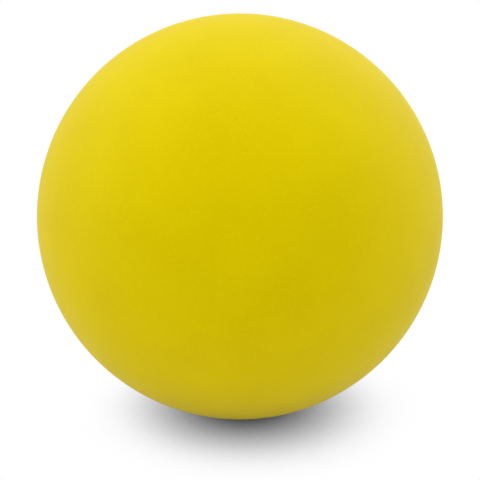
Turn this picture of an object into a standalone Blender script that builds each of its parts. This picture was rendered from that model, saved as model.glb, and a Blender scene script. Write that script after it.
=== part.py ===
"""A hollow bouncy ball: two moulded rubber half shells cemented rim to rim around a sealed air space.

Units are metres and +Z is up. The origin is the ball's centre, and the ball lies with its front shell's
pole turned towards -Y and a little upwards, so the seam runs round behind the face that it shows.
"""

import math

import bpy

# Driving dimensions
BALL_DIAMETER = 0.060
WALL_THICKNESS = 0.004
CEMENT_THICKNESS = 0.0004
TOUCHING_GAP = 0.0003
BEAD_WIDTH = 0.0032
BEAD_DEPTH = 0.0008
POLE_RISE = math.radians(20.0)

# How finely the round surfaces are divided
TURN_STEPS = 64
OUTER_ARC_STEPS = 16
INNER_ARC_STEPS = 11
BEAD_ARC_STEPS = 4

# Colours as linear red, green and blue
RUBBER_YELLOW = (0.67, 0.53, 0.0)
CEMENT_AMBER = (0.52, 0.37, 0.002)
RUBBER_ROUGHNESS = 0.58
CEMENT_ROUGHNESS = 0.48

# Sizes that follow from the driving dimensions
OUTER_RADIUS = BALL_DIAMETER / 2
INNER_RADIUS = OUTER_RADIUS - WALL_THICKNESS
HALF_FILM = CEMENT_THICKNESS / 2
RIM_HEIGHT = HALF_FILM + TOUCHING_GAP
MERGE_DISTANCE = 0.00001


def clear_scene():
    for obj in list(bpy.data.objects):
        bpy.data.objects.remove(obj, do_unlink=True)


def make_material(name, colour, roughness):
    material = bpy.data.materials.new(name)
    material.use_nodes = True
    shader = material.node_tree.nodes["Principled BSDF"]
    shader.inputs["Base Color"].default_value = (*colour, 1.0)
    shader.inputs["Roughness"].default_value = roughness
    shader.inputs["Metallic"].default_value = 0.0
    material.diffuse_color = (*colour, 1.0)
    return material


def arc(radius, start, end, steps):
    """Points along an arc about the origin in the XZ half plane; angles rise from rim to pole."""
    angles = [start + (end - start) * i / steps for i in range(steps + 1)]
    return [(radius * math.cos(a), 0.0, radius * math.sin(a)) for a in angles]


def rim_angle(radius):
    return math.asin(RIM_HEIGHT / radius)


def half_shell_profile():
    """From the outer pole down to the rim, across its flat face, and back up inside to the inner pole."""
    pole = math.pi / 2
    outside = arc(OUTER_RADIUS, pole, rim_angle(OUTER_RADIUS), OUTER_ARC_STEPS)
    inside = arc(INNER_RADIUS, rim_angle(INNER_RADIUS), pole, INNER_ARC_STEPS)
    return outside + inside


def seam_cement_profile():
    """A T: the thin film between the rims, and the round bead that the press squeezed out inside."""
    bead_back = INNER_RADIUS - TOUCHING_GAP
    film = [
        (bead_back, 0.0, HALF_FILM),
        (OUTER_RADIUS, 0.0, HALF_FILM),
        (OUTER_RADIUS, 0.0, -HALF_FILM),
        (bead_back, 0.0, -HALF_FILM),
    ]
    turns = [math.pi * i / BEAD_ARC_STEPS for i in range(BEAD_ARC_STEPS + 1)]
    bead = [
        (bead_back - BEAD_DEPTH * math.sin(turn), 0.0, -BEAD_WIDTH / 2 * math.cos(turn))
        for turn in turns
    ]
    return film + bead


def profile_mesh(name, profile, closed, material):
    """The open or closed profile as a wire mesh, ready for a Screw modifier to turn it about Z."""
    mesh = bpy.data.meshes.new(name)
    edges = [(i, i + 1) for i in range(len(profile) - 1)]
    if closed:
        edges.append((len(profile) - 1, 0))
    mesh.from_pydata(profile, edges, [])
    mesh.materials.append(material)
    return mesh


def turned_object(name, mesh, collection, axis):
    """One solid of revolution, hung on the empty that sets how the ball lies."""
    obj = bpy.data.objects.new(name, mesh)
    collection.objects.link(obj)
    obj.parent = axis
    screw = obj.modifiers.new("Turn", "SCREW")
    screw.axis = "Z"
    screw.angle = 2 * math.pi
    screw.steps = TURN_STEPS
    screw.render_steps = TURN_STEPS
    screw.use_merge_vertices = True
    screw.merge_threshold = MERGE_DISTANCE
    screw.use_smooth_shade = True
    return obj


def make_ball_axis(collection):
    """An empty at the ball's centre whose +Z is the pole of the front half shell."""
    axis = bpy.data.objects.new("ball_axis", None)
    collection.objects.link(axis)
    axis.rotation_euler = (math.pi / 2 - POLE_RISE, 0.0, 0.0)
    return axis


def make_half_shells(collection, axis):
    """Both halves come out of one mould, so the rear one is the same shape turned to face the front."""
    rubber = make_material("buffed_yellow_rubber", RUBBER_YELLOW, RUBBER_ROUGHNESS)
    mesh = profile_mesh("half_shell", half_shell_profile(), closed=False, material=rubber)
    turned_object("front_half_shell", mesh, collection, axis)
    rear = turned_object("rear_half_shell", mesh, collection, axis)
    rear.rotation_euler = (math.pi, 0.0, 0.0)


def make_seam_cement(collection, axis):
    """The ring stays a piece of its own between the two rims that it bonds."""
    cement = make_material("cured_rubber_cement", CEMENT_AMBER, CEMENT_ROUGHNESS)
    mesh = profile_mesh("seam_cement", seam_cement_profile(), closed=True, material=cement)
    turned_object("seam_cement", mesh, collection, axis)


def main():
    clear_scene()
    collection = bpy.data.collections.new("bouncy_ball")
    bpy.context.scene.collection.children.link(collection)
    axis = make_ball_axis(collection)
    make_half_shells(collection, axis)
    make_seam_cement(collection, axis)


main()
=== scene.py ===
"""A hollow bouncy ball of matt yellow rubber, lying on a white table in soft light.

Metres, +Z up, origin at the ball's centre. The front shell's pole points to -Y and 20 degrees upwards.
"""

import math

import bpy
from mathutils import Matrix, Vector


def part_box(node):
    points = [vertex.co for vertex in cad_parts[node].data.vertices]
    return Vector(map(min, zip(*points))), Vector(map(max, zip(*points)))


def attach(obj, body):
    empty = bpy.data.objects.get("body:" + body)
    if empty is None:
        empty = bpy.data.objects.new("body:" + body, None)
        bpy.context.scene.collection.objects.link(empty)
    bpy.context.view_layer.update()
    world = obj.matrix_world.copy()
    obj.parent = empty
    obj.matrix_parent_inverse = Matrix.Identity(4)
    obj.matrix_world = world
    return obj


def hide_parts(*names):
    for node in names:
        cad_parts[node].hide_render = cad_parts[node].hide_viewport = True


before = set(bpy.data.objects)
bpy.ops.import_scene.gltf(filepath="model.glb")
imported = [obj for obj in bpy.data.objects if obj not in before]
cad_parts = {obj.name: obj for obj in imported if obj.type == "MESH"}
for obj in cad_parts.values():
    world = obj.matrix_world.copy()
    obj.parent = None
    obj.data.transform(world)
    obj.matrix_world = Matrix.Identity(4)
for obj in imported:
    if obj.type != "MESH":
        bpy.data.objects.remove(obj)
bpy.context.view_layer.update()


# Front half shell
# A cup of natural rubber with a 4 mm wall, coloured right through and cured in a half-round press mould.
# Its rim is ground flat for the cement, and once the ball is joined its skin is buffed to an even matt.

MM = 0.001
ring_low, ring_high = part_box("seam_cement")
BALL_RADIUS = (ring_high.x - ring_low.x) / 2
WALL = 4 * MM
FILM_THICKNESS = 0.40 * MM
BOND_LINE = 0.01 * MM
RIM_HEIGHT = FILM_THICKNESS / 2 + BOND_LINE
RIM_STRIP = 0.15 * MM
RIM_ROUNDING = 0.05 * MM
ROUNDING_STEPS = 3
ROUNDED_FROM = math.radians(50)
SMOOTH_UP_TO = math.radians(40)
CUTS_ACROSS_A_SIDE = 95
POLE_RISE = math.radians(20)
POLE_TURN = math.pi / 2 - POLE_RISE
lie_of_ball = Matrix.Rotation(POLE_TURN, 4, "X")


def apply_modifiers(piece):
    """Fixes a piece's modifiers into its mesh, in the order they were added."""
    bpy.context.view_layer.objects.active = piece
    for name in [modifier.name for modifier in piece.modifiers]:
        bpy.ops.object.modifier_apply(modifier=name)


def lay_in_place(piece, turn):
    """Turns a piece to where it lies and leaves its place in its mesh."""
    bpy.ops.object.select_all(action="DESELECT")
    piece.select_set(True)
    bpy.context.view_layer.objects.active = piece
    piece.matrix_world = turn
    bpy.ops.object.transform_apply(location=True, rotation=True, scale=True)


# A cube, cut fine and rounded out, gives a ball of even faces with no pole.
bpy.ops.object.select_all(action="DESELECT")
bpy.ops.mesh.primitive_cube_add(size=2 * BALL_RADIUS)
front_shell = bpy.context.object
front_shell.name = "front_half_shell_buffed"
bpy.ops.object.mode_set(mode="EDIT")
bpy.ops.mesh.select_all(action="SELECT")
bpy.ops.mesh.subdivide(number_cuts=CUTS_ACROSS_A_SIDE)
bpy.ops.object.mode_set(mode="OBJECT")
round_out = front_shell.modifiers.new("Round out", "CAST")
round_out.cast_type = "SPHERE"
round_out.factor = 1.0
round_out.use_radius_as_size = False
round_out.size = BALL_RADIUS
apply_modifiers(front_shell)

# It is cut in half at the rim, and once more close above it, so that the rim keeps narrow faces to round.
bpy.ops.object.mode_set(mode="EDIT")
bpy.ops.mesh.select_all(action="SELECT")
bpy.ops.mesh.bisect(plane_co=(0, 0, RIM_HEIGHT), plane_no=(0, 0, 1), clear_inner=True)
bpy.ops.mesh.select_all(action="SELECT")
bpy.ops.mesh.bisect(plane_co=(0, 0, RIM_HEIGHT + RIM_STRIP), plane_no=(0, 0, 1))
bpy.ops.object.mode_set(mode="OBJECT")

# The wall grows inwards and slopes at the rim, which is then ground flat and rounded at both its edges.
wall = front_shell.modifiers.new("Wall", "SOLIDIFY")
wall.thickness = WALL
wall.offset = -1
apply_modifiers(front_shell)
bpy.ops.object.mode_set(mode="EDIT")
bpy.ops.mesh.select_all(action="DESELECT")
bpy.ops.object.mode_set(mode="OBJECT")
for point in front_shell.data.vertices:
    point.select = point.co.z < RIM_HEIGHT + RIM_STRIP / 2
bpy.ops.object.mode_set(mode="EDIT")
bpy.ops.transform.resize(value=(1, 1, 0), center_override=(0, 0, RIM_HEIGHT))
bpy.ops.object.mode_set(mode="OBJECT")
rounding = front_shell.modifiers.new("Rim rounding", "BEVEL")
rounding.limit_method = "ANGLE"
rounding.angle_limit = ROUNDED_FROM
rounding.width = RIM_ROUNDING
rounding.segments = ROUNDING_STEPS
apply_modifiers(front_shell)
bpy.ops.object.shade_smooth_by_angle(angle=SMOOTH_UP_TO)


def srgb(hex_colour):
    """A colour written as RRGGBB, as linear red, green, blue and alpha."""
    channels = [int(hex_colour[i : i + 2], 16) / 255 for i in (0, 2, 4)]
    linear = [c / 12.92 if c <= 0.04045 else ((c + 0.055) / 1.055) ** 2.4 for c in channels]
    return (*linear, 1.0)


def per_metre(mark_mm):
    """A pattern's scale on Object coordinates, from the real size of one of its marks."""
    return 1 / (mark_mm * MM)


def node(tree, kind, links=None, values=None, **settings):
    """Adds one node: its settings, the numbers on its inputs and the outputs that feed its inputs."""
    added = tree.nodes.new(kind)
    for name, value in settings.items():
        setattr(added, name, value)
    for socket, value in (values or {}).items():
        added.inputs[socket].default_value = value
    for socket, source in (links or {}).items():
        tree.links.new(source, added.inputs[socket])
    return added


def blank_material(name):
    """A named material with nothing in it yet."""
    material = bpy.data.materials.new(name)
    material.use_nodes = True
    material.node_tree.nodes.clear()
    return material


# Natural rubber, pigmented and buffed: a dry, matt skin, its faint gloss yellow face on, white at its edge.
# The pigment clouds a little and the filler gives a fine grain. By the seam the grinder has left lines and
# dragged a trace of the cement across the rim. Grain and lines are really finer: drawn as coarse as shows.
RUBBER_DEEP = "CFB900"
RUBBER_PALE = "DCC600"
FILLER_PALE = "E2CB00"
DRAGGED_CEMENT = "BFA404"
GLOSS_YELLOW = "FFE000"
CLOUD_MM = 9
RIPPLE_MM = 3.5
GRAIN_MM = 0.32
LINE_MM = 0.16
LINES_FULL_MM = 0.96
LINES_END_MM = 2.4
DRAG_FULL_MM = 0.35
DRAG_END_MM = 0.70
DRAG_RAGGED_MM = 0.35
RIPPLE_HEIGHT = 0.02 * MM
GRAIN_HEIGHT = 0.02 * MM
LINE_HEIGHT = 0.02 * MM
FILLER_SHARE = 0.5
LINE_SHARE = 0.4
DRAG_SHARE = 0.6
SMOOTHEST, ROUGHEST = 0.52, 0.64
RUBBER_IOR = 1.52
RUBBER_GLOSS = 0.15

# A noise runs from 0 to 1 but keeps near the middle, so each one is used only between these two values.
FILLER_FROM, FILLER_TO = 0.50, 0.80
LINE_FROM, LINE_TO = 0.45, 0.75
MATT_FROM, MATT_TO = 0.30, 0.70

# The colour sockets of a Mix node share their names with other sockets, so they go by number.
MIX_A, MIX_B, MIXED = 6, 7, 2

rubber = blank_material("buffed_natural_rubber")
tree = rubber.node_tree
place = node(tree, "ShaderNodeTexCoord").outputs["Object"]
on_ball = node(
    tree,
    "ShaderNodeMapping",
    {"Vector": place},
    {"Rotation": (POLE_TURN, 0, 0)},
    vector_type="TEXTURE",
).outputs["Vector"]
height = node(tree, "ShaderNodeSeparateXYZ", {"Vector": on_ball}).outputs["Z"]
from_seam = node(tree, "ShaderNodeMath", {0: height}, operation="ABSOLUTE").outputs[0]
cloud = node(tree, "ShaderNodeTexNoise", {"Vector": place}, {"Scale": per_metre(CLOUD_MM), "Detail": 4.0})
ripple = node(tree, "ShaderNodeTexNoise", {"Vector": place}, {"Scale": per_metre(RIPPLE_MM), "Detail": 1.0})
grain = node(tree, "ShaderNodeTexNoise", {"Vector": place}, {"Scale": per_metre(GRAIN_MM), "Detail": 2.0})
lines = node(
    tree,
    "ShaderNodeTexNoise",
    {"W": height},
    {"Scale": per_metre(LINE_MM), "Detail": 1.0},
    noise_dimensions="1D",
)
band = node(
    tree,
    "ShaderNodeMapRange",
    {"Value": from_seam},
    {"From Min": LINES_FULL_MM * MM, "From Max": LINES_END_MM * MM, "To Min": 1.0, "To Max": 0.0},
    interpolation_type="SMOOTHSTEP",
).outputs["Result"]
clouded = node(
    tree,
    "ShaderNodeMix",
    {0: cloud.outputs["Fac"]},
    {MIX_A: srgb(RUBBER_DEEP), MIX_B: srgb(RUBBER_PALE)},
    data_type="RGBA",
).outputs[MIXED]
filler_share = node(
    tree,
    "ShaderNodeMapRange",
    {"Value": grain.outputs["Fac"]},
    {"From Min": FILLER_FROM, "From Max": FILLER_TO, "To Min": 0.0, "To Max": FILLER_SHARE},
).outputs["Result"]
grained = node(
    tree,
    "ShaderNodeMix",
    {0: filler_share, MIX_A: clouded},
    {MIX_B: srgb(FILLER_PALE)},
    data_type="RGBA",
).outputs[MIXED]
drag_reach = node(
    tree,
    "ShaderNodeMath",
    {0: grain.outputs["Fac"], 2: from_seam},
    {1: DRAG_RAGGED_MM * MM},
    operation="MULTIPLY_ADD",
).outputs[0]
drag_share = node(
    tree,
    "ShaderNodeMapRange",
    {"Value": drag_reach},
    {"From Min": DRAG_FULL_MM * MM, "From Max": DRAG_END_MM * MM, "To Min": DRAG_SHARE, "To Max": 0.0},
    interpolation_type="SMOOTHSTEP",
).outputs["Result"]
line_share = node(
    tree,
    "ShaderNodeMapRange",
    {"Value": lines.outputs["Fac"]},
    {"From Min": LINE_FROM, "From Max": LINE_TO, "To Min": 0.0, "To Max": LINE_SHARE},
).outputs["Result"]
line_share_in_band = node(
    tree,
    "ShaderNodeMath",
    {0: line_share, 1: band},
    operation="MULTIPLY",
).outputs[0]
cement_share = node(
    tree,
    "ShaderNodeMath",
    {0: drag_share, 1: line_share_in_band},
    operation="MAXIMUM",
).outputs[0]
dragged = node(
    tree,
    "ShaderNodeMix",
    {0: cement_share, MIX_A: grained},
    {MIX_B: srgb(DRAGGED_CEMENT)},
    data_type="RGBA",
).outputs[MIXED]
matt = node(
    tree,
    "ShaderNodeMapRange",
    {"Value": grain.outputs["Fac"]},
    {"From Min": MATT_FROM, "From Max": MATT_TO, "To Min": SMOOTHEST, "To Max": ROUGHEST},
).outputs["Result"]
ripples = node(
    tree,
    "ShaderNodeBump",
    {"Height": ripple.outputs["Fac"]},
    {"Strength": 1.0, "Distance": RIPPLE_HEIGHT},
).outputs["Normal"]
grains = node(
    tree,
    "ShaderNodeBump",
    {"Height": grain.outputs["Fac"], "Normal": ripples},
    {"Strength": 1.0, "Distance": GRAIN_HEIGHT},
).outputs["Normal"]
ground_lines = node(
    tree,
    "ShaderNodeBump",
    {"Height": lines.outputs["Fac"], "Strength": band, "Normal": grains},
    {"Distance": LINE_HEIGHT},
).outputs["Normal"]
skin = node(
    tree,
    "ShaderNodeBsdfPrincipled",
    {"Base Color": dragged, "Roughness": matt, "Normal": ground_lines},
    {"IOR": RUBBER_IOR, "Specular IOR Level": RUBBER_GLOSS, "Specular Tint": srgb(GLOSS_YELLOW)},
)
node(tree, "ShaderNodeOutputMaterial", {"Surface": skin.outputs["BSDF"]})

front_shell.data.materials.append(rubber)
lay_in_place(front_shell, lie_of_ball)
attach(front_shell, "root")
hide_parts("front_half_shell")


# Rear half shell
# The second cup out of the same mould, of the same rubber, turned to face the first.
# It is pressed against the cemented front rim while the bond cures, then buffed with it.

rear_shell = bpy.data.objects.new("rear_half_shell_buffed", front_shell.data.copy())
bpy.context.scene.collection.objects.link(rear_shell)
lay_in_place(rear_shell, Matrix.Rotation(math.pi, 4, "X"))
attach(rear_shell, "root")
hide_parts("rear_half_shell")


# Seam cement
# A ring of rubber cement, cured to amber, that bonds the two rims: a thin film right through the wall and
# the round bead that the press squeezed out of it inside. Outside it is ground off flush with the skin.

RING_STEPS = 288
FLUSH_DEPTH = 0.01 * MM
BEAD_WIDTH = 3.2 * MM
BEAD_DEPTH = 0.8 * MM
BEAD_STEPS = 8
MERGE_DISTANCE = 0.001 * MM
film_outer = BALL_RADIUS - FLUSH_DEPTH
bead_back = math.sqrt((BALL_RADIUS - WALL) ** 2 - (BEAD_WIDTH / 2) ** 2) - BOND_LINE
half_film = FILM_THICKNESS / 2

# The ring's section, from the film's outer edge in to the bead, round it and back out again.
ring_section = [(film_outer, half_film), (bead_back, half_film)]
for step in range(BEAD_STEPS + 1):
    turn = math.pi * step / BEAD_STEPS
    ring_section.append((bead_back - BEAD_DEPTH * math.sin(turn), BEAD_WIDTH / 2 * math.cos(turn)))
ring_section += [(bead_back, -half_film), (film_outer, -half_film), (film_outer, half_film)]

# A circle is drawn on from each point of the section to the next until it meets itself again.
bpy.ops.object.select_all(action="DESELECT")
bpy.ops.mesh.primitive_circle_add(vertices=RING_STEPS, radius=film_outer, location=(0, 0, half_film))
cement_ring = bpy.context.object
cement_ring.name = "seam_cement_ring"
bpy.ops.object.mode_set(mode="EDIT")
bpy.ops.mesh.select_all(action="SELECT")
for (radius, level), (next_radius, next_level) in zip(ring_section, ring_section[1:]):
    rise = (0, 0, next_level - level)
    widen = next_radius / radius
    bpy.ops.mesh.extrude_edges_move(TRANSFORM_OT_translate={"value": rise})
    bpy.ops.transform.resize(value=(widen, widen, 1), center_override=(0, 0, next_level))
bpy.ops.mesh.select_all(action="SELECT")
bpy.ops.mesh.remove_doubles(threshold=MERGE_DISTANCE)
bpy.ops.mesh.normals_make_consistent(inside=False)
bpy.ops.object.mode_set(mode="OBJECT")
bpy.ops.object.transform_apply(location=True, rotation=True, scale=True)
bpy.ops.object.shade_smooth_by_angle(angle=SMOOTH_UP_TO)

# Cured rubber cement: a little darker and smoother than the rubber, with faint streaks along the seam.
CEMENT_DEEP = "B69904"
CEMENT_PALE = "C8AE06"
STREAK_MM = 1.2
STREAK_WIDTH_MM = 0.15
STREAK_HEIGHT = 0.01 * MM
CEMENT_ROUGHNESS = 0.48
CEMENT_GLOSS = 0.10

cement = blank_material("cured_rubber_cement")
tree = cement.node_tree
place = node(tree, "ShaderNodeTexCoord").outputs["Object"]
along_seam = node(
    tree,
    "ShaderNodeMapping",
    {"Vector": place},
    {"Rotation": (POLE_TURN, 0, 0), "Scale": (1, 1, STREAK_WIDTH_MM / STREAK_MM)},
    vector_type="TEXTURE",
).outputs["Vector"]
streak = node(
    tree,
    "ShaderNodeTexNoise",
    {"Vector": along_seam},
    {"Scale": per_metre(STREAK_MM), "Detail": 2.0},
)
streaked = node(
    tree,
    "ShaderNodeMix",
    {0: streak.outputs["Fac"]},
    {MIX_A: srgb(CEMENT_DEEP), MIX_B: srgb(CEMENT_PALE)},
    data_type="RGBA",
).outputs[MIXED]
streaks = node(
    tree,
    "ShaderNodeBump",
    {"Height": streak.outputs["Fac"]},
    {"Strength": 1.0, "Distance": STREAK_HEIGHT},
).outputs["Normal"]
cured = node(
    tree,
    "ShaderNodeBsdfPrincipled",
    {"Base Color": streaked, "Normal": streaks},
    {"Roughness": CEMENT_ROUGHNESS, "IOR": RUBBER_IOR, "Specular IOR Level": CEMENT_GLOSS},
)
node(tree, "ShaderNodeOutputMaterial", {"Surface": cured.outputs["BSDF"]})

cement_ring.data.materials.append(cement)
lay_in_place(cement_ring, lie_of_ball)
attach(cement_ring, "root")
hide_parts("seam_cement")


# Table
# A plain white table top that the ball lies on. The camera sees it as glowing white paper with a painted
# shadow: the glow is dimmed where ambient occlusion finds the ball near, not by the lamps, and the painted
# shade leans as if more of the light came from behind and a little more from the left.
# What the table throws back at the ball is the light of white card.

TABLE_SIDE = 4.0
CARD_WHITE = "E7E7E7"
PAPER_WHITE = "FFFFFF"
FULL_WHITE = 1.0
# How far the painted shadow looks for the ball, how it turns into glow, and which way it leans.
SHADOW_REACH = 0.5
LIGHT_TO_WHITE = 2.45
CONTACT_SHADE = 0.065
FADE_TO_WHITE = 0.43
PAINTED_LIGHT_LEANS_BACK = math.radians(9)
PAINTED_LIGHT_LEANS_LEFT = math.radians(5)


def seen_directly(tree):
    """One for what the camera sees by itself, in a gloss or through glass, and nothing for other light."""
    light_path = node(tree, "ShaderNodeLightPath")
    camera_or_gloss = node(
        tree,
        "ShaderNodeMath",
        {0: light_path.outputs["Is Camera Ray"], 1: light_path.outputs["Is Glossy Ray"]},
        operation="MAXIMUM",
    )
    return node(
        tree,
        "ShaderNodeMath",
        {0: camera_or_gloss.outputs[0], 1: light_path.outputs["Is Transmission Ray"]},
        operation="MAXIMUM",
    ).outputs[0]


bpy.ops.object.select_all(action="DESELECT")
bpy.ops.mesh.primitive_plane_add(size=TABLE_SIDE, location=(0, 0, -BALL_RADIUS))
table = bpy.context.object
table.name = "white_table"
card = blank_material("white_card")
tree = card.node_tree
thrown_back = node(tree, "ShaderNodeBsdfDiffuse", values={"Color": srgb(CARD_WHITE)})

# Painted shadow: the more open sky a spot of the table sees, the closer its glow comes to the paper's white.
lean = node(
    tree,
    "ShaderNodeCombineXYZ",
    values={"X": -math.tan(PAINTED_LIGHT_LEANS_LEFT), "Y": math.tan(PAINTED_LIGHT_LEANS_BACK), "Z": 1.0},
).outputs[0]
open_sky = node(
    tree,
    "ShaderNodeAmbientOcclusion",
    {"Normal": lean},
    {"Distance": SHADOW_REACH},
    samples=32,
)
painted_light_left = node(
    tree,
    "ShaderNodeMath",
    {0: open_sky.outputs["AO"]},
    {1: LIGHT_TO_WHITE, 2: -CONTACT_SHADE},
    operation="MULTIPLY_ADD",
).outputs[0]
shadow = node(
    tree,
    "ShaderNodeMath",
    {0: painted_light_left},
    {1: FULL_WHITE, 2: FADE_TO_WHITE},
    operation="SMOOTH_MIN",
    use_clamp=True,
).outputs[0]
# The paper's white glow, dimmed into the painted shadow.
paper_with_painted_shadow = node(tree, "ShaderNodeEmission", {"Strength": shadow}, {"Color": srgb(PAPER_WHITE)})
either = node(
    tree,
    "ShaderNodeMixShader",
    {0: seen_directly(tree), 1: thrown_back.outputs[0], 2: paper_with_painted_shadow.outputs[0]},
)
node(tree, "ShaderNodeOutputMaterial", {"Surface": either.outputs[0]})
table.data.materials.append(card)


# Light
# An even white tent all round, with one soft lamp overhead and a broader, weaker one at each side, the right
# one a little behind the ball. The tent is plain white where the camera sees it.

TENT_WHITE = "FFFFFF"
TENT_LIGHT = 0.75
LAMP_DISTANCE = 0.6


def soft_lamp(name, azimuth, elevation, spread, brightness):
    """A round lamp that spreads so many degrees each way. Azimuth 0 is the camera's side, 90 is +X."""
    around = math.radians(azimuth)
    up = math.radians(elevation)
    towards = Vector((math.sin(around) * math.cos(up), -math.cos(around) * math.cos(up), math.sin(up)))
    radius = LAMP_DISTANCE * math.tan(math.radians(spread))
    area = math.pi * radius**2
    lamp = bpy.data.lights.new(name, "AREA")
    lamp.shape = "DISK"
    lamp.size = 2 * radius
    lamp.energy = brightness * math.pi * area
    holder = bpy.data.objects.new(name, lamp)
    holder.location = towards * LAMP_DISTANCE
    holder.rotation_euler = towards.to_track_quat("Z", "Y").to_euler()
    holder.visible_camera = False
    bpy.context.scene.collection.objects.link(holder)


soft_lamp("overhead_lamp", azimuth=0, elevation=90, spread=25, brightness=1.45)
soft_lamp("left_lamp", azimuth=-90, elevation=35, spread=40, brightness=0.62)
soft_lamp("right_lamp", azimuth=120, elevation=35, spread=40, brightness=0.54)

tent = bpy.data.worlds.new("white_tent")
bpy.context.scene.world = tent
tent.use_nodes = True
tree = tent.node_tree
tree.nodes.clear()
tent_strength = node(
    tree,
    "ShaderNodeMapRange",
    {"Value": seen_directly(tree)},
    {"From Min": 0.0, "From Max": 1.0, "To Min": TENT_LIGHT, "To Max": FULL_WHITE},
).outputs["Result"]
sky = node(tree, "ShaderNodeBackground", {"Strength": tent_strength}, {"Color": srgb(TENT_WHITE)})
node(tree, "ShaderNodeOutputWorld", {"Surface": sky.outputs[0]})
bpy.context.scene.view_settings.view_transform = "Standard"


# Camera
# A long lens ten ball radii away and 20 degrees up, aimed so that the ball fills the picture as it does in
# the photograph. The pixel values are the ball's centre and radius there, in a picture of 480 by 480.

PICTURE_SIDE = 480
BALL_CENTRE_PX = (239.9, 216.6)
BALL_RADIUS_PX = 203.0
RADII_AWAY = 10
CAMERA_RISE = math.radians(20)
SENSOR_MM = 36
NEAREST_SEEN = 0.01

# The outline of a ball this close is where the view just grazes it, hence the root.
focal_px = BALL_RADIUS_PX * math.sqrt(RADII_AWAY**2 - 1)
distance = RADII_AWAY * BALL_RADIUS
metres_per_px = distance / focal_px
back = Vector((0, -math.cos(CAMERA_RISE), math.sin(CAMERA_RISE)))
upwards = Vector((0, math.sin(CAMERA_RISE), math.cos(CAMERA_RISE)))
sideways = Vector((1, 0, 0))
aim = (PICTURE_SIDE / 2 - BALL_CENTRE_PX[0]) * metres_per_px * sideways
aim -= (PICTURE_SIDE / 2 - BALL_CENTRE_PX[1]) * metres_per_px * upwards

lens = bpy.data.cameras.new("camera")
lens.sensor_width = SENSOR_MM
lens.lens = SENSOR_MM * focal_px / PICTURE_SIDE
lens.clip_start = NEAREST_SEEN
camera = bpy.data.objects.new("camera", lens)
camera.location = back * distance
camera.rotation_euler = (aim - camera.location).to_track_quat("-Z", "Y").to_euler()
bpy.context.scene.collection.objects.link(camera)
bpy.context.scene.camera = camera
